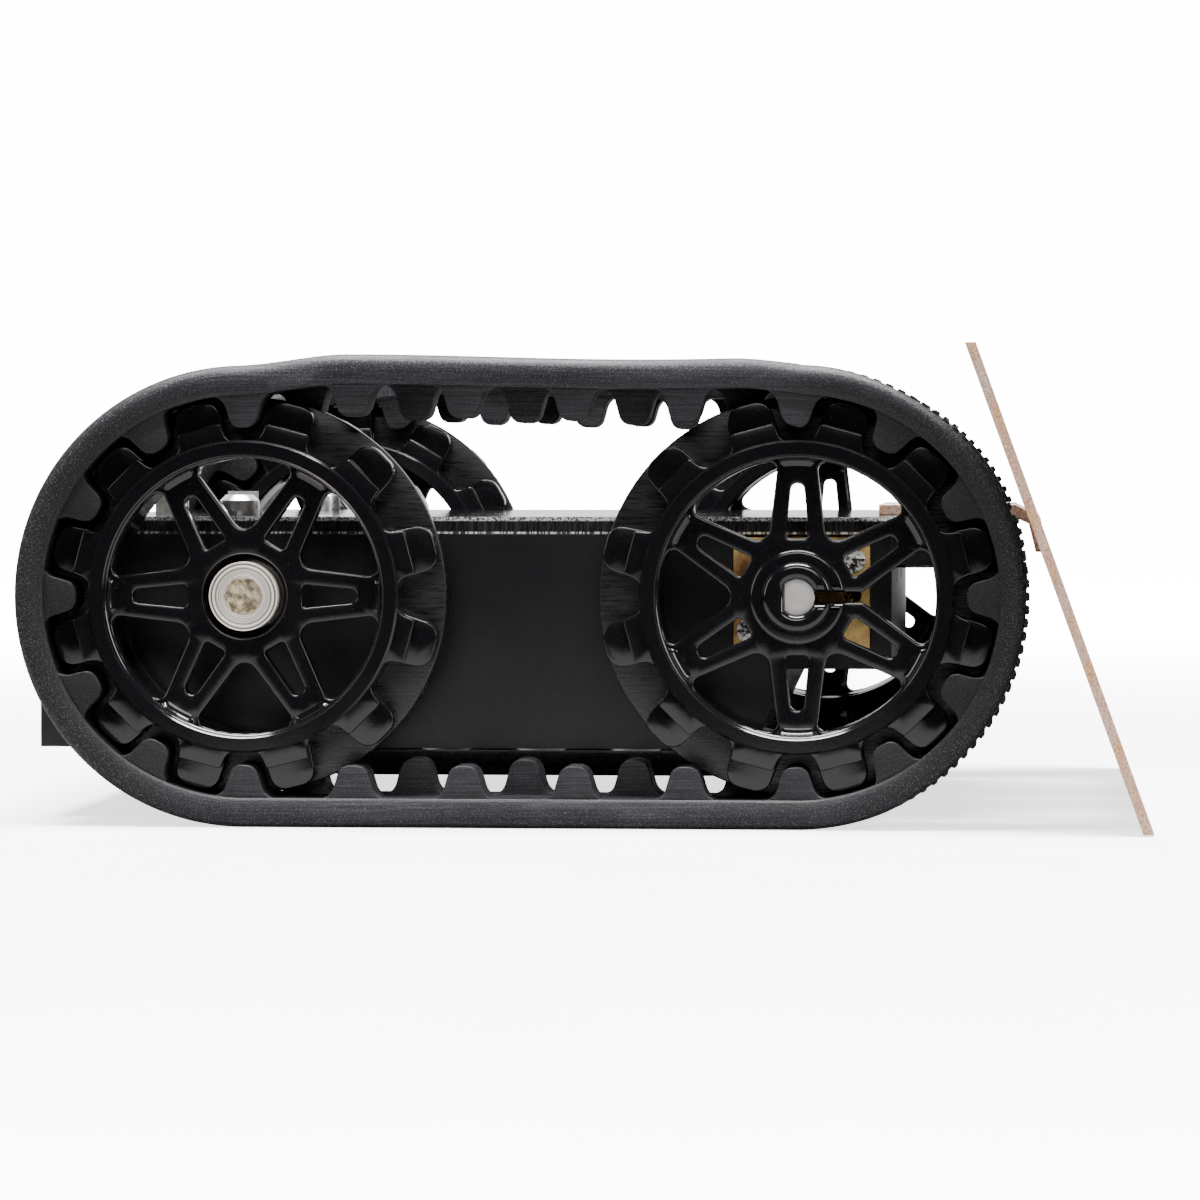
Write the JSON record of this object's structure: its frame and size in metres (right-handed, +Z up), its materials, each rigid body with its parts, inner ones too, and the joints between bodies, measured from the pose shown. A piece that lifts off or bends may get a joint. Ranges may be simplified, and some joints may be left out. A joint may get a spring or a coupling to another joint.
{
  "type": "tracked tank chassis",
  "caption": "Small tracked robot chassis with a moulded body, rubber tracks on spoked sprockets, two gearmotors, a battery bay and an angled steel blade in front.",
  "frame": {"origin": "on the ground, under the middle of the overall length and width", "axes": "+X forwards towards the blade, +Y to the left side, +Z up"},
  "size_m": [0.0984, 0.098, 0.0418],
  "materials": {
    "moulded_black": "glossy moulded ABS",
    "acrylic": "polished acrylic sheet with a laser-cut edge",
    "silicone": "matte moulded silicone",
    "sprocket_black": "glossy moulded ABS",
    "stainless_sheet": "rolled stainless sheet with a sheared edge",
    "bolt_steel": "turned steel",
    "fastener_steel": "plated steel",
    "shaft_steel": "ground steel",
    "brass_plate": "satin brass",
    "gear_brass": "machined brass",
    "can_steel": "plated drawn steel",
    "contact_metal": "nickel-plated spring steel",
    "white_nylon": "moulded nylon",
    "copper_winding": "wound copper wire",
    "magnet": "ferrite"
  },
  "bodies": {
    "chassis": {"main_body": "moulded_black", "top_plate": "acrylic", "battery_terminals": "contact_metal", "battery_links": "contact_metal", "battery_springs": "contact_metal", "blade": "stainless_sheet", "shoulder_bolts": "bolt_steel", "idler_washers": "fastener_steel", "idler_nuts": "fastener_steel", "plate_screws": "fastener_steel", "blade_nuts": "fastener_steel", "track_right": "silicone", "track_left": "silicone", "gearbox_outer_plate_right": "brass_plate", "gearbox_outer_plate_left": "brass_plate", "gearbox_motor_plate_right": "brass_plate", "gearbox_motor_plate_left": "brass_plate", "gearbox_spacers_right": "brass_plate", "gearbox_spacers_left": "brass_plate", "gearbox_screws_right": "fastener_steel", "gearbox_screws_left": "fastener_steel", "layshaft_right": "shaft_steel", "layshaft_left": "shaft_steel", "motor_can_right": "can_steel", "motor_can_left": "can_steel", "motor_magnets_right": "magnet", "motor_magnets_left": "magnet", "motor_end_cap_right": "white_nylon", "motor_end_cap_left": "white_nylon", "motor_terminals_right": "contact_metal", "motor_terminals_left": "contact_metal"},
    "drive_right": {"drive_sprocket_right": "sprocket_black", "output_shaft_right": "shaft_steel", "output_gear_right": "gear_brass"},
    "idler_right": {"idler_sprocket_right": "sprocket_black"},
    "third_gear_right": {"third_gear_right": "gear_brass"},
    "second_gear_right": {"second_gear_right": "gear_brass"},
    "first_gear_right": {"first_gear_right": "gear_brass"},
    "rotor_right": {"motor_pinion_right": "gear_brass", "armature_right": "copper_winding"},
    "drive_left": {"drive_sprocket_left": "sprocket_black", "output_shaft_left": "shaft_steel", "output_gear_left": "gear_brass"},
    "idler_left": {"idler_sprocket_left": "sprocket_black"},
    "third_gear_left": {"third_gear_left": "gear_brass"},
    "second_gear_left": {"second_gear_left": "gear_brass"},
    "first_gear_left": {"first_gear_left": "gear_brass"},
    "rotor_left": {"motor_pinion_left": "gear_brass", "armature_left": "copper_winding"},
    "cover": {"battery_cover": "moulded_black"}
  },
  "joints": [
    {"name": "drive_spin_right", "type": "hinge", "parent": "chassis", "child": "drive_right", "pos_m": [0.01875, 0, 0.02], "axis": [0, 1, 0], "continuous": true, "deforming": ["track_right"]},
    {"name": "idler_spin_right", "type": "hinge", "parent": "chassis", "child": "idler_right", "pos_m": [-0.02925, 0, 0.02], "axis": [0, 1, 0], "continuous": true},
    {"name": "third_gear_spin_right", "type": "hinge", "parent": "chassis", "child": "third_gear_right", "pos_m": [0.02137, 0, 0.01817], "axis": [0, 1, 0], "continuous": true},
    {"name": "second_gear_spin_right", "type": "hinge", "parent": "chassis", "child": "second_gear_right", "pos_m": [0.01875, 0, 0.02], "axis": [0, 1, 0], "continuous": true},
    {"name": "first_gear_spin_right", "type": "hinge", "parent": "chassis", "child": "first_gear_right", "pos_m": [0.02137, 0, 0.01817], "axis": [0, 1, 0], "continuous": true},
    {"name": "rotor_spin_right", "type": "hinge", "parent": "chassis", "child": "rotor_right", "pos_m": [0.01875, 0, 0.02], "axis": [0, 1, 0], "continuous": true},
    {"name": "drive_spin_left", "type": "hinge", "parent": "chassis", "child": "drive_left", "pos_m": [0.01875, 0, 0.02], "axis": [0, 1, 0], "continuous": true, "deforming": ["track_left"]},
    {"name": "idler_spin_left", "type": "hinge", "parent": "chassis", "child": "idler_left", "pos_m": [-0.02925, 0, 0.02], "axis": [0, 1, 0], "continuous": true},
    {"name": "third_gear_spin_left", "type": "hinge", "parent": "chassis", "child": "third_gear_left", "pos_m": [0.02137, 0, 0.01817], "axis": [0, 1, 0], "continuous": true},
    {"name": "second_gear_spin_left", "type": "hinge", "parent": "chassis", "child": "second_gear_left", "pos_m": [0.01875, 0, 0.02], "axis": [0, 1, 0], "continuous": true},
    {"name": "first_gear_spin_left", "type": "hinge", "parent": "chassis", "child": "first_gear_left", "pos_m": [0.02137, 0, 0.01817], "axis": [0, 1, 0], "continuous": true},
    {"name": "rotor_spin_left", "type": "hinge", "parent": "chassis", "child": "rotor_left", "pos_m": [0.01875, 0, 0.02], "axis": [0, 1, 0], "continuous": true},
    {"name": "cover_hinge", "type": "hinge", "parent": "chassis", "child": "cover", "pos_m": [0.0084, 0, 0.0078], "axis": [0, -1, 0], "range_deg": [0, 100]}
  ],
  "couplings": [
    {"joint": "idler_spin_right", "follows": "drive_spin_right", "ratio": 1},
    {"joint": "third_gear_spin_right", "follows": "drive_spin_right", "ratio": -3.8},
    {"joint": "second_gear_spin_right", "follows": "drive_spin_right", "ratio": 10.231},
    {"joint": "first_gear_spin_right", "follows": "drive_spin_right", "ratio": -24.846},
    {"joint": "rotor_spin_right", "follows": "drive_spin_right", "ratio": 49.692},
    {"joint": "idler_spin_left", "follows": "drive_spin_left", "ratio": 1},
    {"joint": "third_gear_spin_left", "follows": "drive_spin_left", "ratio": -3.8},
    {"joint": "second_gear_spin_left", "follows": "drive_spin_left", "ratio": 10.231},
    {"joint": "first_gear_spin_left", "follows": "drive_spin_left", "ratio": -24.846},
    {"joint": "rotor_spin_left", "follows": "drive_spin_left", "ratio": 49.692}
  ]
}
